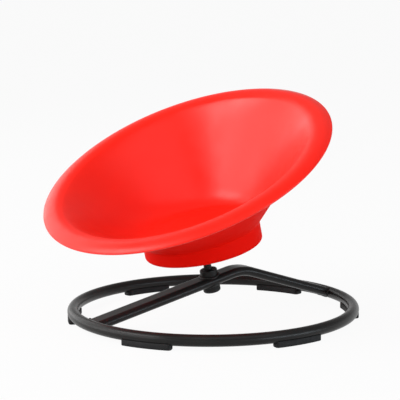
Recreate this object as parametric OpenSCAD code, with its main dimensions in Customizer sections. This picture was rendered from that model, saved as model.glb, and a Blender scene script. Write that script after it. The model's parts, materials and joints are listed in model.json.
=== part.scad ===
// Spinning dish seat: a tilted plastic dish whose spindle turns in a bearing housing. A bent bar
// carries the housing across a round-tube ring that stands on the floor on curved pads.
// Millimetres, +Z up. The origin is on the floor under the ring's centre. The bar lies along X, with
// its long leg towards -X. On the spin axis, heights are measured from the bar's centreline.

/* [Base ring] */
// Diameter of the ring at the middle of its tube
ring_d = 608; // [560:1:680]
// Outside diameter of the round tube
tube_d = 25; // [22:0.5:30]
// Wall of the round tube
tube_wall = 2; // [1.5:0.1:3]

/* [Feet] */
// Length of a foot along the ring
foot_len = 110; // [90:1:130]
// Angle from the bar's short leg to the nearest foot on each side
foot_first = 27; // [20:0.5:40]
// Angle from each foot to the next one on its side
foot_step = 61; // [54:0.5:64]
// Width of a foot
foot_w = 24; // [21:0.5:27]
// Height of a foot below the tube
foot_drop = 8.5; // [8:0.5:18]
// Height that a foot's sides rise beside the tube
foot_cradle = 5; // [3:0.5:7]
// Rounding of a foot's lower edges
foot_edge_r = 2.5; // [1:0.5:4]
// Diameter of a foot screw
screw_d = 4.2; // [3:0.1:5]
// Diameter of a foot screw's head
screw_head_d = 8; // [7:0.5:10]
// Height of a foot screw's head
screw_head_h = 3; // [2:0.5:4]
// Depth of a foot screw's head above the floor
screw_recess = 2; // [1:0.5:3]

/* [Crossbar] */
// Width of the flat-oval bar
bar_w = 48; // [44:1:60]
// Height of the flat-oval bar
bar_h = 20; // [16:0.5:24]
// Wall of the bar
bar_wall = 2; // [1.5:0.1:3]
// Place of the bend along X
bend_x = 69; // [60:1:100]
// Radius of the bend at the bar's middle
bend_r = 95; // [60:1:120]
// Height of the long leg's end above the middle of the ring's tube
long_leg_rise = -2; // [-4:0.5:2]
// Height of the short leg's end above the middle of the ring's tube
short_leg_rise = -1; // [-4:0.5:2]

/* [Bearing housing] */
// Lean of the spin axis from upright, towards the long leg
spin_lean = 11.7; // [10:0.1:14]
// Place of the housing along X
housing_x = -7; // [-20:1:10]
// Height of the bar's centreline at the housing above the middle of the ring's tube
housing_rise = 62.5; // [55:0.5:70]
// Outside diameter of the housing
housing_d = 38; // [36:0.5:42]
// Height of the housing's top above the bar's centreline
housing_top = 25; // [23:0.5:32]
// Rounding of the housing's top edge
housing_edge_r = 2; // [0.5:0.5:2.5]
// Length of the shoulder between the two bearings
shoulder_len = 13; // [8:0.5:20]
// Width of the shoulder that an outer race stands on
shoulder_step = 2.5; // [1.5:0.1:2.6]
// Thickness of the dust seal
seal_t = 3; // [2:0.5:5]
// Thickness of the cap that closes the housing
cap_t = 5; // [4:0.5:8]
// Rounding of the cap's lower edge
cap_edge_r = 4; // [2:0.5:4]
// Size of the weld beads round the housing
weld_bead = 4; // [2:0.5:5]

/* [Bearings] */
// Bore of a bearing
bearing_bore = 15; // [14.5:0.1:15.5]
// Outside diameter of a bearing
bearing_od = 32; // [31:0.1:33]
// Width of a bearing
bearing_w = 9; // [8:0.1:11]
// Diameter of a bearing ball
ball_d = 4.76; // [4:0.01:5]
// Number of balls in a bearing
ball_count = 9; // [7:1:10]

/* [Spindle] */
// Diameter of the spindle above the bearings
spindle_d = 17; // [16.5:0.1:19]
// Diameter of the spindle's thread
thread_d = 12; // [10:0.5:14]
// Width of the spindle nut across its flats
nut_flats = 18; // [16:0.5:20]
// Height of the spindle nut
nut_h = 7; // [5:0.5:10]
// Thickness of the washer over the nut
nut_washer_t = 1.6; // [1:0.1:3]
// Diameter of the spindle's flange under the hub plate
flange_d = 30; // [24:1:40]
// Height of that flange
flange_h = 12; // [6:0.5:14]

/* [Hub] */
// Diameter of the hub plate
plate_d = 160; // [150:1:190]
// Thickness of the hub plate
plate_t = 5; // [4:0.5:8]
// Diameter of the circle of seat bolts
bolt_circle_d = 120; // [100:1:126]
// Number of seat bolts
bolt_count = 4; // [3:1:6]
// Diameter of a seat bolt
bolt_d = 8; // [6:0.5:10]
// Width of a seat bolt's head across its flats
bolt_flats = 13; // [12:0.5:15]
// Height of a seat bolt's head
bolt_head_h = 5.3; // [4:0.1:7]
// Diameter of a washer under a seat bolt
washer_d = 17; // [16:0.5:20]
// Thickness of a washer under a seat bolt
washer_t = 1.6; // [1:0.1:2.5]
// Diameter of a threaded insert
insert_d = 12; // [11:0.5:14]
// Length of a threaded insert
insert_len = 11; // [9:0.5:14]

/* [Collar] */
// Gap from the housing's top to the collar's lower edge
seat_gap = 47.8; // [40:0.1:60]
// Outside diameter of the collar
collar_d = 257; // [244:1:270]
// Wall of the collar
collar_wall = 8; // [6:0.5:12]
// Rounding of the collar's lower edge
collar_edge_r = 7; // [3:0.5:8]
// Height of the dish's floor above the collar's lower edge
floor_h = 56; // [48:0.5:62]
// Thickness of the dish's floor
floor_t = 6; // [5:0.5:8]
// Diameter of a boss under the floor
boss_d = 24; // [20:1:30]
// Height of a boss under the floor
boss_h = 12; // [11:0.5:14]
// Thickness of a rib under the floor
rib_t = 4; // [3:0.5:6]
// Depth of a rib under the floor
rib_h = 10; // [6:0.5:10.5]
// Number of ribs under the floor
rib_count = 8; // [4:1:12]

/* [Dish] */
// Diameter of the dish's rim
rim_d = 648; // [630:1:670]
// Wall of the dish
dish_wall = 5; // [4:0.5:7]
// How far the rim's round bead stands out from the wall on each side
rim_bead = 0.25; // [0.25:0.25:2.5]
// Width of the rolled lip, from the rim to its crest
lip_w = 27; // [22:1:32]
// Radius of the rolled lip
lip_roll_r = 45; // [38:1:52]
// Slope of the bowl's wall below the plane of the rim
bowl_slope = 45; // [42:0.5:48]
// Height of the rim's middle above the collar's lower edge
rim_h = 189.3; // [182:0.1:198]
// Shift of the rim's middle from the spin axis to the dish's low side
dish_shift = 9; // [2:0.5:16]
// Tilt of the dish from the spin axis to its low side
dish_tilt = 15.1; // [11:0.1:18]
// Turn of the seat at rest, from its low side over the long leg
seat_turn = 22.5; // [-180:0.5:180]

/* [Hidden] */
$fn = 96;

// Number of feet on each side of the bar, and round the ring
side_feet = 3;
foot_count = 2 * side_feet;
// Number of flats on a nut or a bolt's head
hex_sides = 6;
// Room that every cut runs past what it cuts
overrun = 1;
// Radial clearance of pieces that are fitted into each other
fit_gap = 0.02;
// Clearance of pieces that turn past each other
run_gap = 0.3;
// Clearance of a ball in its races
ball_gap = 0.05;
// Clearance of a ball in its cage
pocket_gap = 0.1;
// Gap between pieces that a weld or a screw joins
joint_gap = 0.1;

// Base ring
ring_r = ring_d / 2;
tube_r = tube_d / 2;
ring_z = foot_drop + tube_r;

// Feet
foot_arc = foot_len / ring_r * 180 / PI;
screw_place_share = 0.3;
screw_r = screw_d / 2;
screw_tip = 4;
screw_top = foot_drop + tube_wall + screw_tip;

// Crossbar, with the bend as an arc between two straight legs
housing_z = ring_z + housing_rise;
long_slope = atan((housing_rise - long_leg_rise) / (ring_r + housing_x));
bend_z = housing_z + (bend_x - housing_x) * tan(long_slope);
short_leg_z = ring_z + short_leg_rise;
short_slope = atan((bend_z - short_leg_z) / (ring_r - bend_x));
bend_angle = long_slope + short_slope;
bend_reach = bend_r * tan(bend_angle / 2);
long_leg_len = (ring_r + bend_x) / cos(long_slope) - bend_reach;
short_leg_len = (ring_r - bend_x) / cos(short_slope) - bend_reach;
bend_centre_x = bend_x - bend_reach * cos(long_slope) + bend_r * sin(long_slope);
bend_centre_z = bend_z - bend_reach * sin(long_slope) - bend_r * cos(long_slope);
// Length of the bar that stays solid at each end, in tube diameters
bar_end_share = 1.5;
bar_end = tube_d * bar_end_share;
// Growth of the bar's section in the bend
bend_swell = 0.05;

// Bearings
bearing_r = bearing_od / 2;
bore_r = bearing_bore / 2;
ball_r = ball_d / 2;
pitch_r = (bearing_r + bore_r) / 2;
race_cover_share = 0.6;
inner_race_r = pitch_r - ball_r * race_cover_share;
outer_race_r = pitch_r + ball_r * race_cover_share;
cage_t_share = 0.25;
cage_t = ball_d * cage_t_share;
cage_h_share = 0.75;
cage_h = bearing_w * cage_h_share;

// Places along the spin axis
seat_depth = bearing_r + fit_gap;
upper_top = housing_top - seal_t;
upper_base = upper_top - bearing_w;
lower_top = upper_base - shoulder_len;
lower_base = lower_top - bearing_w;
upper_mid = (upper_top + upper_base) / 2;
lower_mid = (lower_top + lower_base) / 2;
nut_top = lower_base - nut_washer_t;
nut_base = nut_top - nut_h;
thread_over = 2;
spindle_end = nut_base - thread_over;
end_room = 1.4;
housing_base = spindle_end - end_room;
cap_base = housing_base - cap_t;

// Housing, seal, circlip and cap
housing_r = housing_d / 2;
shoulder_r = bearing_r - shoulder_step;
weld_toe_share = 0.2;
seal_lift = 0.5;
circlip_t = 1.2;
circlip_depth = 0.8;
circlip_gap = 0.3;
circlip_w = 3;
circlip_open = 40;
circlip_eye_r = 2;
circlip_eye_hole_r = 0.9;
cap_plug_len = 4;
cap_plug_wall = 3;

// Spindle
spindle_r = spindle_d / 2;
thread_r = thread_d / 2;
journal_r = bore_r - fit_gap;
spacer_r = inner_race_r - run_gap;
nut_washer_r = nut_flats / 2 + run_gap;
nut_collar_share = 0.3;
nut_collar_h = nut_h * nut_collar_share;
flange_r = flange_d / 2;
thread_chamfer = 1;

// Seat heights
collar_z = housing_top + seat_gap;
floor_z = collar_z + floor_h;
floor_under_z = floor_z - floor_t;
plate_top = floor_under_z - boss_h;
plate_base = plate_top - plate_t;
rim_z = collar_z + rim_h;
bolt_r = bolt_d / 2;
bolt_hole_gap = 0.4;
insert_r = insert_d / 2;
insert_room = 2;
collar_r = collar_d / 2;
collar_inner_r = collar_r - collar_wall;
plate_r = plate_d / 2;

// Dish outline, in the dish's own frame: the rim's plane is zero and the wall goes down to a cone. The
// lip is one arc that goes on from the wall and ends in the middle of the rim's bead.
rim_r = rim_d / 2;
bead_r = dish_wall / 2 + rim_bead;
bead_mid_r = rim_r - bead_r;
crest_r = rim_r - lip_w;
roll_mid_r = lip_roll_r - dish_wall / 2;
lip_fall = asin((bead_mid_r - crest_r) / roll_mid_r);
roll_z = -bead_r - roll_mid_r * cos(lip_fall);
crest_z = roll_z + lip_roll_r;
fill_z = crest_z + overrun;
lip_end_r = crest_r + (lip_roll_r + overrun) * sin(lip_fall);
lip_end_z = roll_z + (lip_roll_r + overrun) * cos(lip_fall);
under_roll_r = lip_roll_r - dish_wall;
lip_under_r = crest_r + (under_roll_r - overrun) * sin(lip_fall);
lip_under_z = roll_z + (under_roll_r - overrun) * cos(lip_fall);
// Depth that the wall's cone runs into the lip's arc, so that the two cross
wall_dip = 0.01;
wall_r = crest_r - (lip_roll_r - wall_dip) * sin(bowl_slope);
wall_z = roll_z + (lip_roll_r - wall_dip) * cos(bowl_slope);
cone_z = wall_z - wall_r * tan(bowl_slope);
outer_wall_r = crest_r - (under_roll_r - wall_dip) * sin(bowl_slope);
outer_wall_z = roll_z + (under_roll_r - wall_dip) * cos(bowl_slope);
outer_cone_z = outer_wall_z - outer_wall_r * tan(bowl_slope);

// Colours
frame_black = [0.09, 0.09, 0.09];
rubber_black = [0.05, 0.05, 0.05];
seat_red = [0.95, 0.10, 0.08];
steel = [0.72, 0.72, 0.74];
brass = [0.80, 0.64, 0.30];
cage_brown = [0.45, 0.38, 0.25];

// Shared shapes

// Puts its children on the spin axis, with the height zero at the bar's centreline.
module on_spin_axis() {
    translate([housing_x, 0, housing_z]) rotate([0, -spin_lean, 0]) children();
}

// As on_spin_axis, turned with the seat. The dish's low side lies towards -X.
module on_seat() {
    on_spin_axis() rotate([0, 0, seat_turn]) children();
}

// A round sleeve between two radii and two heights.
module sleeve(inner_r, outer_r, base, top) {
    rotate_extrude() translate([inner_r, base]) square([outer_r - inner_r, top - base]);
}

// A solid round bar between two heights.
module rod(r, base, top) {
    translate([0, 0, base]) cylinder(r = r, h = top - base);
}

// A hexagon with the given width across its flats.
module hexagon(flats, base, top) {
    translate([0, 0, base]) cylinder(d = flats / cos(180 / hex_sides), h = top - base, $fn = hex_sides);
}

// Copies its children round an axis.
module around(count, r) {
    for (i = [0:count - 1]) rotate([0, 0, i * 360 / count]) translate([r, 0, 0]) children();
}

// As around, half a step on, so that the copies lie between the axes.
module around_between(count, r) {
    rotate([0, 0, 180 / count]) around(count, r) children();
}

// A flat oval, wide along Y.
module flat_oval(w, h) {
    square([h, w - h], center = true);
    for (side = [-1, 1]) translate([0, side * (w - h) / 2]) circle(d = h);
}

// A round-tube ring of the given tube radius.
module ring_solid(r) {
    translate([0, 0, ring_z]) rotate_extrude() translate([ring_r, 0]) circle(r = r);
}

// The bar's route with a flat-oval section, each end shortened by end_cut. The legs run a little way
// into the bend, whose section is larger by the swell.
module bar_route(w, h, end_cut) {
    translate([-ring_r, 0, ring_z + long_leg_rise]) rotate([0, 90 - long_slope, 0])
        translate([0, 0, end_cut]) linear_extrude(long_leg_len + overrun - end_cut) flat_oval(w, h);
    translate([bend_centre_x, 0, bend_centre_z]) rotate([90, 0, 0]) rotate([0, 0, 90 - short_slope])
        rotate_extrude(angle = bend_angle) translate([bend_r, 0])
            flat_oval(w + 2 * bend_swell, h + 2 * bend_swell);
    translate([ring_r, 0, short_leg_z]) rotate([0, short_slope - 90, 0])
        translate([0, 0, end_cut]) linear_extrude(short_leg_len + overrun - end_cut) flat_oval(w, h);
}

// Copies its children to each foot screw of one foot, whose middle lies on +X.
module foot_screw_places() {
    for (side = [-1, 1])
        rotate([0, 0, side * screw_place_share * foot_arc]) translate([ring_r, 0, 0]) children();
}

// Turns its children to a foot, counted from one. The last feet mirror the first ones across the bar.
module on_foot(i) {
    turn = foot_first + (i - 1) % side_feet * foot_step;
    rotate([0, 0, i > side_feet ? -turn : turn]) children();
}

// Frame

module base_ring() {
    color(frame_black) difference() {
        ring_solid(tube_r);
        ring_solid(tube_r - tube_wall);
        for (i = [1:foot_count]) on_foot(i) foot_screw_places() rod(screw_r + fit_gap, 0, ring_z);
    }
}

module crossbar() {
    color(frame_black) difference() {
        bar_route(bar_w, bar_h, 0);
        bar_route(bar_w - 2 * bar_wall, bar_h - 2 * bar_wall, bar_end);
        ring_solid(tube_r + joint_gap);
        on_spin_axis() rod(housing_r + joint_gap, -bar_h, bar_h);
    }
}

module bearing_housing() {
    color(frame_black) on_spin_axis() difference() {
        rotate_extrude() {
            translate([0, housing_base]) square([housing_r, housing_top - housing_edge_r - housing_base]);
            translate([0, housing_base]) square([housing_r - housing_edge_r, housing_top - housing_base]);
            translate([housing_r - housing_edge_r, housing_top - housing_edge_r])
                circle(r = housing_edge_r);
        }
        rod(shoulder_r, housing_base - overrun, housing_top + overrun);
        rod(seat_depth, upper_base, housing_top + overrun);
        rod(seat_depth, housing_base - overrun, lower_top);
        rod(bearing_r + circlip_depth + circlip_gap, lower_base - circlip_t - fit_gap, lower_base);
    }
}

// A bead round the housing on the bar's upper face.
module weld_ring() {
    rotate_extrude() polygon([
        [housing_r + joint_gap, 0],
        [housing_r + weld_bead, 0],
        [housing_r + weld_bead, bar_h / 2 + weld_bead * weld_toe_share],
        [housing_r + joint_gap, bar_h / 2 + weld_bead]
    ]);
}

module housing_welds() {
    color(frame_black) for (turn = [0, 180]) difference() {
        on_spin_axis() rotate([turn, 0, 0]) weld_ring();
        bar_route(bar_w, bar_h, 0);
    }
}

module housing_cap() {
    color(rubber_black) on_spin_axis() {
        rotate_extrude() {
            translate([0, cap_base + cap_edge_r]) square([housing_r, cap_t - cap_edge_r]);
            translate([0, cap_base]) square([housing_r - cap_edge_r, cap_t]);
            translate([housing_r - cap_edge_r, cap_base + cap_edge_r]) intersection() {
                circle(r = cap_edge_r);
                translate([0, -cap_edge_r]) square(cap_edge_r);
            }
        }
        sleeve(bearing_r - cap_plug_wall, bearing_r - fit_gap, housing_base, housing_base + cap_plug_len);
    }
}

module foot_pad(i) {
    color(rubber_black) on_foot(i) difference() {
        rotate([0, 0, -foot_arc / 2]) rotate_extrude(angle = foot_arc) difference() {
            translate([ring_r - foot_w / 2, 0]) {
                translate([0, foot_edge_r]) square([foot_w, foot_drop + foot_cradle - foot_edge_r]);
                translate([foot_edge_r, 0]) square([foot_w - 2 * foot_edge_r, foot_drop]);
                for (x = [foot_edge_r, foot_w - foot_edge_r])
                    translate([x, foot_edge_r]) circle(r = foot_edge_r);
            }
            translate([ring_r, ring_z]) circle(r = tube_r + joint_gap);
        }
        foot_screw_places() {
            rod(screw_r + joint_gap, 0, ring_z);
            rod(screw_head_d / 2 + run_gap, -overrun, screw_recess + screw_head_h);
        }
    }
}

module foot_screws() {
    color(steel) for (i = [1:foot_count]) on_foot(i) foot_screw_places() {
        rod(screw_head_d / 2, screw_recess, screw_recess + screw_head_h);
        rod(screw_r, screw_recess + screw_head_h, screw_top - screw_r);
        translate([0, 0, screw_top - screw_r]) cylinder(r1 = screw_r, r2 = 0, h = screw_r);
    }
}

module dust_seal() {
    color(rubber_black) on_spin_axis() {
        sleeve(outer_race_r, bearing_r, upper_top, housing_top);
        sleeve(spindle_r + run_gap, bearing_r, upper_top + seal_lift, housing_top);
    }
}

module housing_circlip() {
    ring_outer = bearing_r + circlip_depth;
    ring_inner = bearing_r - circlip_w;
    base = lower_base - circlip_t;
    color(steel) on_spin_axis() {
        rotate([0, 0, circlip_open / 2]) rotate_extrude(angle = 360 - circlip_open)
            translate([ring_inner, base]) square([ring_outer - ring_inner, circlip_t]);
        for (side = [-1, 1]) rotate([0, 0, side * circlip_open / 2])
            translate([ring_inner + circlip_eye_r, 0, base]) difference() {
                cylinder(r = circlip_eye_r, h = circlip_t);
                translate([0, 0, -overrun]) cylinder(r = circlip_eye_hole_r, h = circlip_t + 2 * overrun);
            }
    }
}

// Bearings

// A race between two radii, with the groove that the balls run in.
module race(inner_r, outer_r, mid) {
    rotate_extrude() difference() {
        translate([inner_r, mid - bearing_w / 2]) square([outer_r - inner_r, bearing_w]);
        translate([pitch_r, mid]) circle(r = ball_r + ball_gap);
    }
}

module outer_race(mid) {
    color(steel) on_spin_axis() race(outer_race_r, bearing_r, mid);
}

module inner_race(mid) {
    color(steel) on_spin_axis() race(bore_r, inner_race_r, mid);
}

module balls(mid) {
    color(steel) on_spin_axis() translate([0, 0, mid]) around(ball_count, pitch_r) sphere(r = ball_r);
}

module cage(mid) {
    color(cage_brown) on_spin_axis() difference() {
        sleeve(pitch_r - cage_t / 2, pitch_r + cage_t / 2, mid - cage_h / 2, mid + cage_h / 2);
        translate([0, 0, mid]) around(ball_count, pitch_r) rotate([0, 90, 0])
            cylinder(r = ball_r + pocket_gap, h = ball_d, center = true);
    }
}

module race_spacer() {
    color(steel) on_spin_axis() sleeve(bore_r, spacer_r, lower_top, upper_base);
}

// Spindle

module spindle() {
    color(frame_black) on_spin_axis() {
        rod(spindle_r, upper_top, plate_top);
        rod(flange_r, plate_base - flange_h, plate_base);
        rod(journal_r, lower_base, upper_top);
        rod(thread_r, spindle_end + thread_chamfer, lower_base);
        translate([0, 0, spindle_end])
            cylinder(r1 = thread_r - thread_chamfer, r2 = thread_r, h = thread_chamfer);
    }
}

module spindle_washer() {
    color(steel) on_spin_axis() sleeve(thread_r + fit_gap, nut_washer_r, nut_top, lower_base);
}

module spindle_nut() {
    color(steel) on_seat() difference() {
        union() {
            hexagon(nut_flats, nut_base + nut_collar_h, nut_top);
            rod(nut_flats / 2, nut_base, nut_base + nut_collar_h);
        }
        rod(thread_r + fit_gap, nut_base - overrun, nut_top + overrun);
    }
}

// Hub

module hub_plate() {
    color(frame_black) on_seat() difference() {
        rod(plate_r, plate_base, plate_top);
        rod(spindle_r + fit_gap, plate_base - overrun, plate_top + overrun);
        around_between(bolt_count, bolt_circle_d / 2)
            rod(bolt_r + bolt_hole_gap, plate_base - overrun, plate_top + overrun);
    }
}

module seat_bolts() {
    head_top = plate_base - washer_t;
    color(steel) on_seat() around_between(bolt_count, bolt_circle_d / 2) {
        hexagon(bolt_flats, head_top - bolt_head_h, head_top);
        rod(bolt_r, head_top, plate_top + insert_len);
    }
}

module seat_washers() {
    color(steel) on_seat() around_between(bolt_count, bolt_circle_d / 2)
        sleeve(bolt_r + joint_gap, washer_d / 2, plate_base - washer_t, plate_base);
}

module seat_inserts() {
    color(brass) on_seat() around_between(bolt_count, bolt_circle_d / 2)
        sleeve(bolt_r + fit_gap, insert_r, plate_top, plate_top + insert_len);
}

// Seat

// Puts its children in the dish's own frame, whose axis is tilted to the low side.
module on_dish() {
    translate([-dish_shift, 0, rim_z]) rotate([0, -dish_tilt, 0]) children();
}

// The dish filled up past its crest, down to the cone that its outer wall runs to.
module dish_solid() {
    rotate_extrude() difference() {
        polygon([
            [0, fill_z],
            [lip_end_r, fill_z],
            [lip_end_r, lip_end_z],
            [lip_under_r, lip_under_z],
            [outer_wall_r, outer_wall_z],
            [0, outer_cone_z]
        ]);
        translate([crest_r, roll_z]) circle(r = under_roll_r);
    }
}

// The space inside the dish, down to the cone that its inner wall runs to.
module dish_space() {
    rotate_extrude() difference() {
        polygon([
            [0, fill_z + overrun],
            [lip_end_r + overrun, fill_z + overrun],
            [lip_end_r + overrun, roll_z],
            [crest_r, roll_z],
            [wall_r, wall_z],
            [0, cone_z]
        ]);
        translate([crest_r, roll_z]) circle(r = lip_roll_r);
    }
}

// The round bead along the rim.
module rim_ring() {
    rotate_extrude() translate([bead_mid_r, -bead_r]) circle(r = bead_r);
}

// The collar as a solid with a rounded lower edge, up to the dish's floor.
module collar_solid() {
    rotate_extrude() {
        translate([0, collar_z]) square([collar_r - collar_edge_r, floor_h]);
        translate([0, collar_z + collar_edge_r]) square([collar_r, floor_h - collar_edge_r]);
        translate([collar_r - collar_edge_r, collar_z + collar_edge_r]) circle(r = collar_edge_r);
    }
}

// Ribs and bosses under the dish's floor.
module floor_ribs() {
    for (i = [0:rib_count - 1]) rotate([0, 0, i * 360 / rib_count])
        translate([0, -rib_t / 2, floor_under_z - rib_h])
            cube([collar_inner_r + overrun, rib_t, rib_h + overrun]);
    around_between(bolt_count, bolt_circle_d / 2) rod(boss_d / 2, plate_top, floor_under_z + overrun);
}

module seat_shell() {
    color(seat_red) on_seat() difference() {
        union() {
            difference() {
                union() {
                    on_dish() dish_solid();
                    collar_solid();
                }
                intersection() {
                    on_dish() dish_space();
                    rod(rim_d, floor_z, rim_z + rim_d);
                }
                rod(collar_inner_r, -rim_d, floor_under_z);
            }
            on_dish() rim_ring();
            floor_ribs();
        }
        around_between(bolt_count, bolt_circle_d / 2)
            rod(insert_r + fit_gap, plate_top - overrun, plate_top + insert_len + insert_room);
    }
}

base_ring();
crossbar();
bearing_housing();
housing_welds();
housing_cap();
for (i = [1:foot_count]) foot_pad(i);
foot_screws();
dust_seal();
housing_circlip();
outer_race(upper_mid);  // upper_outer_race
outer_race(lower_mid);  // lower_outer_race
balls(upper_mid);  // upper_balls
cage(upper_mid);  // upper_cage
balls(lower_mid);  // lower_balls
cage(lower_mid);  // lower_cage
inner_race(upper_mid);  // upper_inner_race
inner_race(lower_mid);  // lower_inner_race
race_spacer();
spindle();
spindle_washer();
spindle_nut();
hub_plate();
seat_bolts();
seat_washers();
seat_inserts();
seat_shell();
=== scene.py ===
import json
import math

import bmesh
import bpy
import numpy as np
from mathutils import Matrix, Vector


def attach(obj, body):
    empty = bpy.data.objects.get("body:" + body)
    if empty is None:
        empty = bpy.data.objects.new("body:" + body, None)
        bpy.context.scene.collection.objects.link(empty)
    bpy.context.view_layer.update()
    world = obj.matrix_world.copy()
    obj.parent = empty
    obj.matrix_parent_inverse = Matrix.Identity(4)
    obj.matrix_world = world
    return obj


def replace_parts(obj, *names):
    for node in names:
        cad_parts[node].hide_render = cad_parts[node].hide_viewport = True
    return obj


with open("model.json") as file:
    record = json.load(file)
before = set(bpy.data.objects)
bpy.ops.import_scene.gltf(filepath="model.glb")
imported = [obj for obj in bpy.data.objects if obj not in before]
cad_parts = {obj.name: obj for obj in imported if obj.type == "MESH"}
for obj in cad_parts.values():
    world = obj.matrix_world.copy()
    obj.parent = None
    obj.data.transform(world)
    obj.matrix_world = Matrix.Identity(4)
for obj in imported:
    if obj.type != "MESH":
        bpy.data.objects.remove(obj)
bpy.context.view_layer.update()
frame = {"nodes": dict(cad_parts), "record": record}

MM = 0.001

# Sizes of the object in millimetres, the same as in the CAD model
RING_R = 304.0
TUBE_R = 12.5
RING_Z = 21.0
FOOT_LEN = 110.0
FOOT_W = 24.0
FOOT_DROP = 8.5
FOOT_CRADLE = 5.0
FOOT_EDGE = 2.5
FOOT_CORNER = 5.0
FOOT_FIRST = 27.0
FOOT_STEP = 61.0
BAR_W = 48.0
BAR_H = 20.0
BEND_X = 69.0
LONG_RISE = -2.0
SHORT_RISE = -1.0
HOUSING_X = -7.0
HOUSING_RISE = 62.5
HOUSING_R = 19.0
SPIN_LEAN = 11.7
COLLAR_Z = 72.8
COLLAR_R = 128.5
COLLAR_WALL = 8.0
COLLAR_EDGE = 7.0
RECESS_R = COLLAR_R - COLLAR_WALL
FLOOR_Z = COLLAR_Z + 56.0
FLOOR_UNDER = FLOOR_Z - 6.0
RIM_Z = COLLAR_Z + 189.3
RIM_R = 324.0
BEAD_R = 2.75
WALL = 5.0
SLOPE = math.radians(45.0)
LIP_W = 27.0
LIP_ROLL_R = 45.0
DISH_SHIFT = 9.0
DISH_TILT = 15.1
SEAT_TURN = 22.5
RIB_COUNT = 8
RIB_T = 4.0
RIB_H = 10.0
BOSS_COUNT = 4
BOSS_R = 12.0
BOSS_H = 12.0
BOLT_CIRCLE_R = 60.0


# Frames

def rot_y(deg):
    a = math.radians(deg)
    return np.array([[math.cos(a), 0, math.sin(a)], [0, 1, 0], [-math.sin(a), 0, math.cos(a)]])


def rot_z(deg):
    a = math.radians(deg)
    return np.array([[math.cos(a), -math.sin(a), 0], [math.sin(a), math.cos(a), 0], [0, 0, 1]])


HOUSING = np.array([HOUSING_X, 0.0, RING_Z + HOUSING_RISE])
SPIN = rot_y(-SPIN_LEAN)
SEAT = SPIN @ rot_z(SEAT_TURN)
DISH = rot_y(-DISH_TILT)
DISH_AT = np.array([-DISH_SHIFT, 0.0, RIM_Z])


def spin_to_row(p):
    return np.asarray(p) @ SPIN.T + HOUSING


def seat_to_row(p):
    return np.asarray(p) @ SEAT.T + HOUSING


def dish_to_seat(p):
    return np.asarray(p) @ DISH.T + DISH_AT


# Mesh helpers

def make_object(name, verts_mm, faces, material, body, smooth=True):
    mesh = bpy.data.meshes.new(name)
    mesh.from_pydata([tuple(v) for v in np.asarray(verts_mm, float) * MM], [], faces)
    mesh.validate()
    bm = bmesh.new()
    bm.from_mesh(mesh)
    bmesh.ops.recalc_face_normals(bm, faces=bm.faces)
    bm.to_mesh(mesh)
    bm.free()
    mesh.polygons.foreach_set("use_smooth", [smooth] * len(mesh.polygons))
    mesh.materials.append(material)
    obj = bpy.data.objects.new(name, mesh)
    bpy.context.scene.collection.objects.link(obj)
    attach(obj, body)
    return obj


def loft(rows, start=None, end=None, closed=False):
    """Vertices and faces of closed rings of equal length.

    A point closes each end that is given one, and closed joins the last ring to the first.
    """
    n = len(rows[0])
    verts = [p for row in rows for p in row]
    faces = []
    count = len(rows)
    for i in range(count if closed else count - 1):
        a, b = i * n, (i + 1) % count * n
        for j in range(n):
            k = (j + 1) % n
            faces.append((a + j, a + k, b + k, b + j))
    for point, base in ((start, 0), (end, (count - 1) * n)):
        if point is not None:
            verts.append(point)
            tip = len(verts) - 1
            faces += [(base + j, base + (j + 1) % n, tip) for j in range(n)]
    return verts, faces


def tube_along(path, radii, sides):
    """A closed bead along a closed path, with one radius for each point."""
    path = np.asarray(path, float)
    ahead = np.roll(path, -1, axis=0) - np.roll(path, 1, axis=0)
    ahead /= np.linalg.norm(ahead, axis=1)[:, None]
    middle = path.mean(axis=0)
    rows = []
    for p, t, r in zip(path, ahead, radii):
        out = p - middle
        out -= t * out.dot(t)
        out /= np.linalg.norm(out)
        up = np.cross(t, out)
        turn = np.linspace(0, 2 * math.pi, sides, endpoint=False)
        rows.append([p + r * (math.cos(a) * out + math.sin(a) * up) for a in turn])
    return loft(rows, closed=True)


# Materials

def node(tree, kind, **values):
    made = tree.nodes.new(kind)
    for key, value in values.items():
        setattr(made, key, value)
    return made


# The part of a noise's range that is used, and how much detail each noise has
NOISE_LOW = 0.3
NOISE_HIGH = 0.7
DRIFT_DETAIL = 3.0
PATCH_DETAIL = 4.0
GRAIN_DETAIL = 2.0


def noise(tree, point, scale, detail):
    made = node(tree, "ShaderNodeTexNoise")
    made.inputs["Scale"].default_value = scale
    made.inputs["Detail"].default_value = detail
    tree.links.new(point, made.inputs["Vector"])
    return made.outputs["Fac"]


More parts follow.
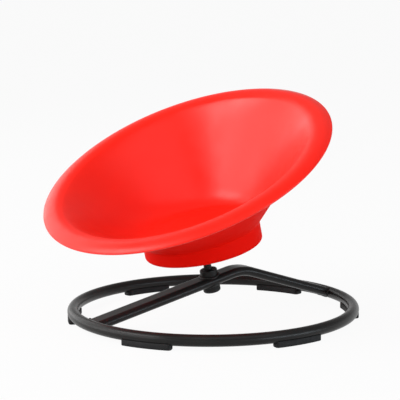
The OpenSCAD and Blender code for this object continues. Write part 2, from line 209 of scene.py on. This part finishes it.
def surface(name, low, high, rough, *, tint_scale, rough_scale, grain_scale, grain, metallic=0.0,
            specular=0.5, grain_depth=0.0002, streak=None, wave=None):
    """A procedural finish: colour drifts from low to high, roughness varies, and a fine grain raises it.

    A streak stretches the grain. A wave, given as its scale and depth, makes the surface slightly uneven.
    """
    mat = bpy.data.materials.new(name)
    mat.use_nodes = True
    tree = mat.node_tree
    shader = tree.nodes["Principled BSDF"]
    shader.inputs["Metallic"].default_value = metallic
    shader.inputs["Specular IOR Level"].default_value = specular
    place = node(tree, "ShaderNodeTexCoord")
    point = place.outputs["Object"]
    if streak:
        stretch = node(tree, "ShaderNodeMapping")
        stretch.inputs["Scale"].default_value = streak
        tree.links.new(point, stretch.inputs["Vector"])
        grain_point = stretch.outputs["Vector"]
    else:
        grain_point = point

    ramp = node(tree, "ShaderNodeValToRGB")
    ramp.color_ramp.elements[0].position = NOISE_LOW
    ramp.color_ramp.elements[0].color = (*low, 1)
    ramp.color_ramp.elements[1].position = NOISE_HIGH
    ramp.color_ramp.elements[1].color = (*high, 1)
    tree.links.new(noise(tree, point, tint_scale, DRIFT_DETAIL), ramp.inputs["Fac"])
    tree.links.new(ramp.outputs["Color"], shader.inputs["Base Color"])

    span = node(tree, "ShaderNodeMapRange")
    span.inputs["From Min"].default_value = NOISE_LOW
    span.inputs["From Max"].default_value = NOISE_HIGH
    span.inputs["To Min"].default_value = rough[0]
    span.inputs["To Max"].default_value = rough[1]
    tree.links.new(noise(tree, point, rough_scale, PATCH_DETAIL), span.inputs["Value"])
    tree.links.new(span.outputs["Result"], shader.inputs["Roughness"])

    bump = node(tree, "ShaderNodeBump")
    bump.inputs["Strength"].default_value = grain
    bump.inputs["Distance"].default_value = grain_depth
    tree.links.new(noise(tree, grain_point, grain_scale, GRAIN_DETAIL), bump.inputs["Height"])
    if wave:
        wave_scale, wave_depth = wave
        swell = node(tree, "ShaderNodeBump")
        swell.inputs["Distance"].default_value = wave_depth
        tree.links.new(noise(tree, point, wave_scale, GRAIN_DETAIL), swell.inputs["Height"])
        tree.links.new(swell.outputs["Normal"], bump.inputs["Normal"])
    tree.links.new(bump.outputs["Normal"], shader.inputs["Normal"])
    return mat


red = surface("seat_red", (0.92, 0.010, 0.003), (0.95, 0.013, 0.004), (0.29, 0.38), specular=0.285,
              tint_scale=5.0, rough_scale=24.0, grain_scale=700.0, grain=0.04, wave=(14.0, 0.0003))
red_outside = surface("seat_red_outside", (0.90, 0.006, 0.002), (0.94, 0.009, 0.003), (0.55, 0.65),
                      specular=0.03, tint_scale=5.0, rough_scale=40.0, grain_scale=700.0, grain=0.06)
black_paint = surface("powder_coat", (0.012, 0.0115, 0.011), (0.017, 0.0165, 0.016), (0.28, 0.34),
                      specular=0.15, tint_scale=14.0, rough_scale=90.0, grain_scale=1400.0, grain=0.02,
                      grain_depth=0.0001)
weld_paint = surface("weld_coat", (0.012, 0.0115, 0.011), (0.020, 0.019, 0.018), (0.28, 0.38), specular=0.18,
                     tint_scale=60.0, rough_scale=200.0, grain_scale=900.0, grain=0.25, grain_depth=0.0002)
rubber = surface("pad_rubber", (0.010, 0.010, 0.0105), (0.016, 0.016, 0.0165), (0.55, 0.70), specular=0.15,
                 tint_scale=30.0, rough_scale=120.0, grain_scale=1600.0, grain=0.25, grain_depth=0.00015)
black_plastic = surface("cap_plastic", (0.012, 0.012, 0.012), (0.018, 0.018, 0.018), (0.42, 0.52),
                        specular=0.25, tint_scale=40.0, rough_scale=150.0, grain_scale=1800.0, grain=0.2,
                        grain_depth=0.0001)
cage_plastic = surface("cage_plastic", (0.20, 0.13, 0.06), (0.28, 0.19, 0.10), (0.40, 0.55),
                       tint_scale=200.0, rough_scale=400.0, grain_scale=3000.0, grain=0.1,
                       grain_depth=0.00005)
zinc = surface("zinc_plate", (0.48, 0.48, 0.49), (0.60, 0.60, 0.60), (0.28, 0.40), metallic=1.0,
               tint_scale=120.0, rough_scale=300.0, grain_scale=2500.0, grain=0.08, grain_depth=0.00005)
bearing_steel = surface("bearing_steel", (0.58, 0.58, 0.60), (0.66, 0.66, 0.67), (0.14, 0.24), metallic=1.0,
                        tint_scale=150.0, rough_scale=500.0, grain_scale=2500.0, grain=0.05,
                        grain_depth=0.00003, streak=(1.0, 1.0, 6.0))
brass = surface("insert_brass", (0.66, 0.48, 0.18), (0.76, 0.57, 0.24), (0.28, 0.40), metallic=1.0,
                tint_scale=150.0, rough_scale=400.0, grain_scale=2500.0, grain=0.08, grain_depth=0.00005)

FINISHES = {
    "frame_paint": black_paint,
    "pad_rubber": rubber,
    "cap_plastic": black_plastic,
    "cage_plastic": cage_plastic,
    "bright_steel": zinc,
    "bearing_steel": bearing_steel,
    "insert_brass": brass,
    "seat_plastic": red,
}
for part in frame["record"]["subparts"]:
    mesh = frame["nodes"][part["node"]].data
    mesh.materials.clear()
    mesh.materials.append(FINISHES[part["material_slot"]])


# Seat dish: one moulding, made of rings round the dish's own axis

DISH_SIDES = 256
FLOOR_BLEND = 34.0
EASE_FROM_R = 242.0
EASE_TO_R = 278.0
NECK_BLEND = 5.0
INNER_R = 3.0
RECESS_CORNER = 5.0
RECESS_INNER_R = 4.0
# The collar's inner edge at its mouth: how far in and up it starts, and where it ends
MOUTH_IN = 0.4
MOUTH_LOW = 0.2
MOUTH_HIGH = 0.9
# Rings in each stretch of the outline, from the middle of the floor, over the lip, to the recess
WALL_RINGS = 72
EASE_RINGS = 24
ROLL_RINGS = 34
BEAD_RINGS = 19
UNDER_RINGS = 40
CONE_RINGS = 34
NECK_RINGS = 10
COLLAR_RINGS = 8
EDGE_RINGS = 12
RECESS_RINGS = 6
RECESS_TOP_RINGS = 10
BEAD_AT = RIM_R - BEAD_R
CREST_R = RIM_R - LIP_W
ROLL_MID_R = LIP_ROLL_R - WALL / 2
LIP_FALL = math.asin((BEAD_AT - CREST_R) / ROLL_MID_R)
ROLL_Z = -BEAD_R - ROLL_MID_R * math.cos(LIP_FALL)


def soft_max(a, b, k):
    return np.maximum(a, b) + np.maximum(k - np.abs(a - b), 0) ** 2 / (4 * k)


def ring_of(r, z, phi):
    return np.stack([r * np.cos(phi), r * np.sin(phi), np.full_like(phi, z)], axis=1)


def bead_join(r):
    """Where a roll of radius r meets the rim's bead: the angle at the roll's middle and at the bead's."""
    at_roll = math.acos((r * r + ROLL_MID_R ** 2 - BEAD_R ** 2) / (2 * r * ROLL_MID_R))
    return at_roll, math.asin(r * math.sin(at_roll) / BEAD_R)


def lip_ease(wall_r, wall_z):
    """Points of a curve that eases the straight wall into the lip's roll."""
    turn = math.asin((EASE_TO_R - CREST_R) / LIP_ROLL_R)
    low = np.array([EASE_FROM_R, wall_z - (wall_r - EASE_FROM_R) * math.tan(SLOPE)])
    high = np.array([EASE_TO_R, ROLL_Z + LIP_ROLL_R * math.cos(turn)])
    rise = high[1] - low[1] + math.tan(turn) * (high[0] - low[0])
    step = rise / (math.tan(SLOPE) + math.tan(turn))
    knee = low + step * np.array([1.0, math.tan(SLOPE)])
    return [tuple((1 - s) ** 2 * low + 2 * s * (1 - s) * knee + s * s * high)
            for s in np.linspace(0, 1, EASE_RINGS)]


def seat_dish():
    phi = np.linspace(0, 2 * math.pi, DISH_SIDES, endpoint=False)
    wall_r = CREST_R - LIP_ROLL_R * math.sin(SLOPE)
    wall_z = ROLL_Z + LIP_ROLL_R * math.cos(SLOPE)
    outline = [(r, wall_z - (wall_r - r) * math.tan(SLOPE))
               for r in np.linspace(INNER_R, EASE_FROM_R, WALL_RINGS)[:-1]]
    outline += lip_ease(wall_r, wall_z)
    under_r = LIP_ROLL_R - WALL
    top_join, top_bead = bead_join(LIP_ROLL_R)
    low_join, low_bead = bead_join(under_r)
    ease_end = math.asin((EASE_TO_R - CREST_R) / LIP_ROLL_R)
    for t in np.linspace(ease_end, LIP_FALL - top_join, ROLL_RINGS)[1:]:
        outline.append((CREST_R + LIP_ROLL_R * math.sin(t), ROLL_Z + LIP_ROLL_R * math.cos(t)))
    cup = len(outline)
    bead_start = math.pi / 2 - LIP_FALL + top_bead
    bead_end = -math.pi / 2 - LIP_FALL - low_bead
    for t in np.linspace(bead_start, bead_end, BEAD_RINGS)[1:-1]:
        outline.append((BEAD_AT + BEAD_R * math.cos(t), -BEAD_R + BEAD_R * math.sin(t)))
    under_from = len(outline)
    for t in np.linspace(LIP_FALL - low_join, -SLOPE, UNDER_RINGS):
        outline.append((CREST_R + under_r * math.sin(t), ROLL_Z + under_r * math.cos(t)))
    rows = []
    for k, (r, z) in enumerate(outline):
        row = dish_to_seat(ring_of(r, z, phi))
        if k < cup:
            row[:, 2] = soft_max(row[:, 2], np.full(DISH_SIDES, FLOOR_Z), FLOOR_BLEND)
        rows.append(row)
    middle = dish_to_seat([[0.0, 0.0, wall_z - wall_r * math.tan(SLOPE)]])[0]
    middle[2] = FLOOR_Z

    # The outer cone, down to where each of its lines meets the collar
    start = rows[-1]
    down = ring_of(-math.cos(SLOPE), -math.sin(SLOPE), phi) @ DISH.T
    a = (down[:, :2] ** 2).sum(1)
    b = (start[:, :2] * down[:, :2]).sum(1)
    c = (start[:, :2] ** 2).sum(1) - COLLAR_R ** 2
    reach = (-b - np.sqrt(b * b - a * c)) / a
    hit = start + down * reach[:, None]
    neck_top = hit - down * NECK_BLEND
    neck_low = hit - np.array([0.0, 0.0, NECK_BLEND])
    for s in np.linspace(0, 1, CONE_RINGS)[1:]:
        rows.append(start + (neck_top - start) * s)
    for s in np.linspace(0, 1, NECK_RINGS)[1:]:
        rows.append((1 - s) ** 2 * neck_top + 2 * s * (1 - s) * hit + s * s * neck_low)
    around = np.stack([hit[:, 0] / COLLAR_R, hit[:, 1] / COLLAR_R], axis=1)

    def collar_row(r, z):
        return np.concatenate([around * r, np.full((DISH_SIDES, 1), z)], axis=1)

    edge_top = collar_row(COLLAR_R, COLLAR_Z + COLLAR_EDGE)
    for s in np.linspace(0, 1, COLLAR_RINGS)[1:]:
        rows.append(neck_low + (edge_top - neck_low) * s)
    for t in np.linspace(0, math.pi / 2, EDGE_RINGS)[1:]:
        rows.append(collar_row(COLLAR_R - COLLAR_EDGE * (1 - math.cos(t)),
                               COLLAR_Z + COLLAR_EDGE * (1 - math.sin(t))))
    rows.append(collar_row(RECESS_R + MOUTH_IN, COLLAR_Z + MOUTH_LOW))
    rows.append(collar_row(RECESS_R, COLLAR_Z + MOUTH_HIGH))
    for z in np.linspace(COLLAR_Z + MOUTH_HIGH, FLOOR_UNDER - RECESS_CORNER, RECESS_RINGS)[1:]:
        rows.append(collar_row(RECESS_R, z))
    for t in np.linspace(0, math.pi / 2, RECESS_RINGS)[1:]:
        rows.append(collar_row(RECESS_R - RECESS_CORNER * (1 - math.cos(t)),
                               FLOOR_UNDER - RECESS_CORNER + RECESS_CORNER * math.sin(t)))
    for r in np.linspace(RECESS_R - RECESS_CORNER, RECESS_INNER_R, RECESS_TOP_RINGS)[1:]:
        rows.append(collar_row(r, FLOOR_UNDER))
    rows = [seat_to_row(row) for row in rows]
    verts, faces = loft(rows, seat_to_row([middle])[0], seat_to_row([[0.0, 0.0, FLOOR_UNDER]])[0])
    dish = make_object("seat_dish", verts, faces, red, "seat")
    dish.data.materials.append(red_outside)
    band = np.arange(len(dish.data.polygons)) // DISH_SIDES
    outside = (band >= under_from) & (band < len(rows) - 1)
    dish.data.polygons.foreach_set("material_index", outside.astype(np.int32))
    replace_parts(dish, "seat_shell")


seat_dish()


# Ribs and bosses under the floor

RIB_FROM_R = 19.0
BOSS_SIDES = 40
# How far the ribs and bosses reach into the floor and the collar
SINK = 1.0
RIB_BEVEL = 0.8
SHARP_ANGLE = 0.8


def bevelled(bm, size):
    sharp = [e for e in bm.edges if len(e.link_faces) == 2 and e.calc_face_angle(0) > SHARP_ANGLE]
    bmesh.ops.bevel(bm, geom=sharp, offset=size, segments=2, affect="EDGES", profile=0.5)


def seat_ribs():
    bm = bmesh.new()
    for i in range(RIB_COUNT):
        made = bmesh.ops.create_cube(bm, size=1.0)["verts"]
        turn = Matrix.Rotation(2 * math.pi * i / RIB_COUNT, 4, "Z")
        size = Matrix.Diagonal((RECESS_R + SINK - RIB_FROM_R, RIB_T, RIB_H + SINK, 1.0))
        at = Matrix.Translation(((RECESS_R + SINK + RIB_FROM_R) / 2, 0.0, FLOOR_UNDER - (RIB_H - SINK) / 2))
        bmesh.ops.transform(bm, matrix=turn @ at @ size, verts=made)
    for i in range(BOSS_COUNT):
        made = bmesh.ops.create_cone(bm, cap_ends=True, segments=BOSS_SIDES, radius1=BOSS_R, radius2=BOSS_R,
                                     depth=BOSS_H + SINK)["verts"]
        turn = Matrix.Rotation(2 * math.pi * (i + 0.5) / BOSS_COUNT, 4, "Z")
        at = Matrix.Translation((BOLT_CIRCLE_R, 0.0, FLOOR_UNDER - (BOSS_H - SINK) / 2))
        bmesh.ops.transform(bm, matrix=turn @ at, verts=made)
    bevelled(bm, RIB_BEVEL)
    bm.verts.ensure_lookup_table()
    verts = seat_to_row(np.array([v.co for v in bm.verts]))
    faces = [tuple(v.index for v in f.verts) for f in bm.faces]
    bm.free()
    make_object("seat_ribs", verts, faces, red_outside, "seat", smooth=False)


seat_ribs()


# Feet: curved pads with rounded corners that hold the tube

SIDE_FEET = 3
CRADLE_GAP = 0.1
# The bevel along a pad's upper edges, and the least flat beside its cradle
PAD_BEVEL_IN = 0.5
PAD_BEVEL_DOWN = 0.6
PAD_SHOULDER = 0.6
EDGE_STEPS = 6
CRADLE_STEPS = 13
CORNER_STEPS = 9
LENGTH_STEPS = 22


def foot_section(half):
    """The section of a pad whose half width is given, as points (radial, height)."""
    points = []
    for a in np.linspace(math.pi, 1.5 * math.pi, EDGE_STEPS):
        points.append((-half + FOOT_EDGE + FOOT_EDGE * math.cos(a), FOOT_EDGE + FOOT_EDGE * math.sin(a)))
    for a in np.linspace(1.5 * math.pi, 2 * math.pi, EDGE_STEPS):
        points.append((half - FOOT_EDGE + FOOT_EDGE * math.cos(a), FOOT_EDGE + FOOT_EDGE * math.sin(a)))
    top = FOOT_DROP + FOOT_CRADLE
    cradle_r = TUBE_R + CRADLE_GAP
    wide = min(math.sqrt(cradle_r ** 2 - (RING_Z - top) ** 2), half - PAD_SHOULDER)
    points.append((half, top - PAD_BEVEL_DOWN))
    points.append((half - PAD_BEVEL_IN, top))
    for x in np.linspace(wide, -wide, CRADLE_STEPS):
        points.append((x, RING_Z - math.sqrt(cradle_r ** 2 - x * x)))
    points.append((-half + PAD_BEVEL_IN, top))
    points.append((-half, top - PAD_BEVEL_DOWN))
    return points


def foot_pad(i):
    turn = FOOT_FIRST + (i - 1) % SIDE_FEET * FOOT_STEP
    middle = math.radians(-turn if i > SIDE_FEET else turn)
    half_arc = FOOT_LEN / 2 / RING_R
    corner = FOOT_CORNER / RING_R
    steps = [corner * (1 - math.cos(t)) for t in np.linspace(0, math.pi / 2, CORNER_STEPS)]
    stations = [(-half_arc + s, s) for s in steps]
    stations += [(u, corner) for u in np.linspace(-half_arc + corner, half_arc - corner, LENGTH_STEPS)[1:-1]]
    stations += [(half_arc - s, s) for s in reversed(steps)]
    rows = []
    for u, s in stations:
        cut = FOOT_CORNER - math.sqrt(max(FOOT_CORNER ** 2 - (FOOT_CORNER - s * RING_R) ** 2, 0.0))
        row = []
        for x, z in foot_section(FOOT_W / 2 - min(cut, FOOT_CORNER)):
            row.append(((RING_R + x) * math.cos(middle + u), (RING_R + x) * math.sin(middle + u), z))
        rows.append(row)
    verts, faces = loft(rows)
    n = len(rows[0])
    faces.append(tuple(range(n)))
    faces.append(tuple(range((len(rows) - 1) * n, len(rows) * n)))
    pad = make_object(f"pad_{i}", verts, faces, rubber, "base")
    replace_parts(pad, f"foot_pad_{i}")


for number in range(1, 2 * SIDE_FEET + 1):
    foot_pad(number)


# Weld beads, with the ripples that a welder leaves

WELD_SIDES = 14
RIPPLE_DEPTH = 0.10
RIPPLE_DRIFT = 0.05
RIPPLE_PHASE = 6.28
LEG_WELD_R = 2.4
LEG_WELD_STEPS = 160
LEG_WELD_WAVES = 40
# How far along a leg its end is looked for, and how often the stretch is halved
LEG_REACH = 60.0
LEG_HALVINGS = 50
HOUSING_WELD_R = 2.6
HOUSING_WELD_STEPS = 150
HOUSING_WELD_WAVES = 36
HOUSING_WELD_OUT = 1.2
HOUSING_WELD_UP = 0.4


def ripple(count, radius, waves, seed):
    """The radius at each point of a bead, with even ripples and a slow uneven drift."""
    turn = np.linspace(0, 2 * math.pi, count, endpoint=False)
    drawn = np.random.default_rng(seed)
    drift = sum(drawn.normal(0, RIPPLE_DRIFT) * np.cos(k * turn + drawn.uniform(0, RIPPLE_PHASE))
                for k in range(2, 7))
    return radius * (1 + RIPPLE_DEPTH * np.cos(waves * turn) + drift)


def oval_point(s):
    """A point (across, up) on the bar's flat-oval outline, for s from 0 to 1 round it."""
    r = BAR_H / 2
    flat = BAR_W - BAR_H
    length = 2 * flat + 2 * math.pi * r
    d = s % 1.0 * length
    if d < flat:
        return -flat / 2 + d, r
    d -= flat
    if d < math.pi * r:
        a = math.pi / 2 - d / r
        return flat / 2 + r * math.cos(a), r * math.sin(a)
    d -= math.pi * r
    if d < flat:
        return flat / 2 - d, -r
    d -= flat
    a = -math.pi / 2 - d / r
    return -flat / 2 + r * math.cos(a), r * math.sin(a)


LONG_SLOPE = (HOUSING_RISE - LONG_RISE) / (RING_R + HOUSING_X)
BEND_Z = RING_Z + HOUSING_RISE + (BEND_X - HOUSING_X) * LONG_SLOPE


def bar_end_weld(name, end_x, end_rise, seed):
    """A bead where one leg of the bar meets the ring's tube."""
    end = np.array([end_x, 0.0, RING_Z + end_rise])
    along = np.array([BEND_X, 0.0, BEND_Z]) - end
    along /= np.linalg.norm(along)
    across = np.array([0.0, 1.0, 0.0])
    up = np.cross(along, across)
    if up[2] < 0:
        up = -up
    path = []
    for s in np.linspace(0, 1, LEG_WELD_STEPS, endpoint=False):
        y, z = oval_point(s)
        base = end + across * y + up * z
        low, high = 0.0, LEG_REACH
        for _ in range(LEG_HALVINGS):
            mid = (low + high) / 2
            p = base + along * mid
            inside = math.hypot(math.hypot(p[0], p[1]) - RING_R, p[2] - RING_Z) < TUBE_R
            low, high = (mid, high) if inside else (low, mid)
        path.append(base + along * low)
    verts, faces = tube_along(path, ripple(len(path), LEG_WELD_R, LEG_WELD_WAVES, seed), WELD_SIDES)
    make_object(name, verts, faces, weld_paint, "base")


bar_end_weld("long_leg_weld", -RING_R, LONG_RISE, 3)
bar_end_weld("short_leg_weld", RING_R, SHORT_RISE, 5)


def housing_weld(name, side, seed):
    """A bead round the housing on the bar's upper or lower face."""
    off = math.tan(math.atan(LONG_SLOPE) - math.radians(SPIN_LEAN))
    r = HOUSING_R + HOUSING_WELD_OUT
    path = []
    for a in np.linspace(0, 2 * math.pi, HOUSING_WELD_STEPS, endpoint=False):
        x, y = r * math.cos(a), r * math.sin(a)
        reach = max(abs(y) - (BAR_W - BAR_H) / 2, 0.0)
        z = math.sqrt((BAR_H / 2) ** 2 - reach ** 2)
        path.append((x, y, side * (z + HOUSING_WELD_UP) + x * off))
    radii = ripple(len(path), HOUSING_WELD_R, HOUSING_WELD_WAVES, seed)
    verts, faces = tube_along(spin_to_row(path), radii, WELD_SIDES)
    return make_object(name, verts, faces, weld_paint, "base")


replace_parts(housing_weld("housing_weld_upper", 1.0, 11), "housing_welds")
housing_weld("housing_weld_lower", -1.0, 12)


# Stage: a plain pale floor, soft studio light and a white surround

# Rays that meet the white surround in place of the light that falls on the object
WHITE_RAYS = ("Is Camera Ray", "Is Glossy Ray", "Is Transmission Ray")


def white_share(tree):
    """A value that is 1 for the rays that meet the white surround."""
    rays = node(tree, "ShaderNodeLightPath")
    total = rays.outputs[WHITE_RAYS[0]]
    for name in WHITE_RAYS[1:]:
        top = node(tree, "ShaderNodeMath", operation="MAXIMUM")
        tree.links.new(total, top.inputs[0])
        tree.links.new(rays.outputs[name], top.inputs[1])
        total = top.outputs["Value"]
    return total


# The floor's half width in metres, its own grey, and the share of white that those rays meet there
FLOOR_HALF = 30.0
FLOOR_GREY = 0.62
FLOOR_WHITE = 0.94


def build_floor():
    floor_mesh = bpy.data.meshes.new("floor")
    half = FLOOR_HALF
    corners = [(-half, -half, 0), (half, -half, 0), (half, half, 0), (-half, half, 0)]
    floor_mesh.from_pydata(corners, [], [(0, 1, 2, 3)])
    floor = bpy.data.objects.new("floor", floor_mesh)
    bpy.context.scene.collection.objects.link(floor)
    mat = bpy.data.materials.new("floor_pale")
    mat.use_nodes = True
    tree = mat.node_tree
    tree.nodes.clear()
    out = node(tree, "ShaderNodeOutputMaterial")
    pale = node(tree, "ShaderNodeBsdfDiffuse")
    pale.inputs["Color"].default_value = (FLOOR_GREY, FLOOR_GREY, FLOOR_GREY, 1)
    glow = node(tree, "ShaderNodeEmission")
    glow.inputs["Color"].default_value = (1, 1, 1, 1)
    glow.inputs["Strength"].default_value = 1.0
    mix = node(tree, "ShaderNodeMixShader")
    seen = white_share(tree)
    share = node(tree, "ShaderNodeMath", operation="MULTIPLY")
    share.inputs[1].default_value = FLOOR_WHITE
    tree.links.new(seen, share.inputs[0])
    tree.links.new(share.outputs["Value"], mix.inputs["Fac"])
    tree.links.new(pale.outputs["BSDF"], mix.inputs[1])
    tree.links.new(glow.outputs["Emission"], mix.inputs[2])
    tree.links.new(mix.outputs["Shader"], out.inputs["Surface"])
    floor_mesh.materials.append(mat)


# The white surround is a sweep that ends at a low height, given as the sine of the angle to the horizon
SWEEP_LOW = 0.08
SWEEP_HIGH = 0.42
WORLD_LIGHT = 0.33


def build_world():
    world = bpy.data.worlds.new("surround")
    bpy.context.scene.world = world
    world.use_nodes = True
    tree = world.node_tree
    back = tree.nodes["Background"]
    back.inputs["Color"].default_value = (1, 1, 1, 1)
    place = node(tree, "ShaderNodeTexCoord")
    split = node(tree, "ShaderNodeSeparateXYZ")
    tree.links.new(place.outputs["Generated"], split.inputs["Vector"])
    sweep = node(tree, "ShaderNodeMapRange", interpolation_type="SMOOTHSTEP")
    sweep.inputs["From Min"].default_value = SWEEP_LOW
    sweep.inputs["From Max"].default_value = SWEEP_HIGH
    sweep.inputs["To Min"].default_value = 1.0
    sweep.inputs["To Max"].default_value = 0.0
    tree.links.new(split.outputs["Z"], sweep.inputs["Value"])
    share = node(tree, "ShaderNodeMath", operation="MULTIPLY")
    tree.links.new(white_share(tree), share.inputs[0])
    tree.links.new(sweep.outputs["Result"], share.inputs[1])
    span = node(tree, "ShaderNodeMix", data_type="FLOAT")
    span.inputs["A"].default_value = WORLD_LIGHT
    span.inputs["B"].default_value = 1.0
    tree.links.new(share.outputs["Value"], span.inputs["Factor"])
    tree.links.new(span.outputs["Result"], back.inputs["Strength"])


def build_lamp(name, at, aim, size, watts, colour=(1.0, 1.0, 1.0)):
    lamp = bpy.data.lights.new(name, "AREA")
    lamp.shape = "RECTANGLE"
    lamp.size, lamp.size_y = size
    lamp.energy = watts
    lamp.color = colour
    obj = bpy.data.objects.new(name, lamp)
    bpy.context.scene.collection.objects.link(obj)
    obj.location = at
    obj.rotation_euler = (Vector(aim) - Vector(at)).to_track_quat("-Z", "Y").to_euler()


# Camera: the photograph's place and direction, found from the ring, the bar and the rim

CAM_AZIMUTH = 32.5
CAM_DIST = 3800.0
CAM_ELEV = math.radians(12.611)
CAM_YAW = math.radians(-0.405)
CAM_PITCH = math.radians(-3.537)
CAM_ROLL = math.radians(-0.554)
CAM_FOCAL_PX = 1742.1
FRAME_PX = 400.0
SENSOR_W = 36.0
CLIP_END = 100.0


def build_camera():
    cam = bpy.data.cameras.new("camera")
    cam.sensor_width = SENSOR_W
    cam.lens = CAM_FOCAL_PX / FRAME_PX * SENSOR_W
    cam.clip_end = CLIP_END
    obj = bpy.data.objects.new("camera", cam)
    bpy.context.scene.collection.objects.link(obj)
    back = rot_z(-CAM_AZIMUTH)
    at = back @ np.array([0.0, -CAM_DIST * math.cos(CAM_ELEV), CAM_DIST * math.sin(CAM_ELEV)])
    low = CAM_ELEV + CAM_PITCH
    ahead = np.array([math.sin(CAM_YAW) * math.cos(low), math.cos(CAM_YAW) * math.cos(low), -math.sin(low)])
    right = np.array([math.cos(CAM_YAW), -math.sin(CAM_YAW), 0.0])
    up = np.cross(right, ahead)
    right, up = (math.cos(CAM_ROLL) * right + math.sin(CAM_ROLL) * up,
                 math.cos(CAM_ROLL) * up - math.sin(CAM_ROLL) * right)
    turn = back @ np.stack([right, up, -ahead], axis=1)
    place = (at + np.array([0.0, 0.0, RING_Z])) * MM
    obj.matrix_world = Matrix.Translation(Vector(place)) @ Matrix(turn.tolist()).to_4x4()
    bpy.context.scene.camera = obj


def camera_side(right, ahead, up):
    """A point given in metres to the right of the ring's centre, away from the camera, and up."""
    return tuple(rot_z(-CAM_AZIMUTH) @ np.array([right, ahead, up]))


# Points in metres that the lamps face
SEAT_MIDDLE = (0, 0, 0.35)
FRAME_MIDDLE = (0, 0, 0.1)


build_floor()
build_world()
build_lamp("back_panel", camera_side(-2.55, 1.78, 1.45), SEAT_MIDDLE, (3.2, 2.7), 41.0)
build_lamp("left_panel", camera_side(-3.03, -1.10, 1.03), SEAT_MIDDLE, (4.2, 1.3), 58.0)
build_lamp("key", camera_side(-3.02, -0.98, 2.76), SEAT_MIDDLE, (2.6, 1.2), 87.0)
build_lamp("top", camera_side(0.6, -1.5, 2.3), SEAT_MIDDLE, (3.0, 1.8), 18.0)
build_lamp("low_strip", camera_side(2.6, -1.55, 0.35), FRAME_MIDDLE, (2.6, 0.4), 38.0, (0.80, 0.91, 1.0))
build_camera()
bpy.context.scene.view_settings.view_transform = "Standard"
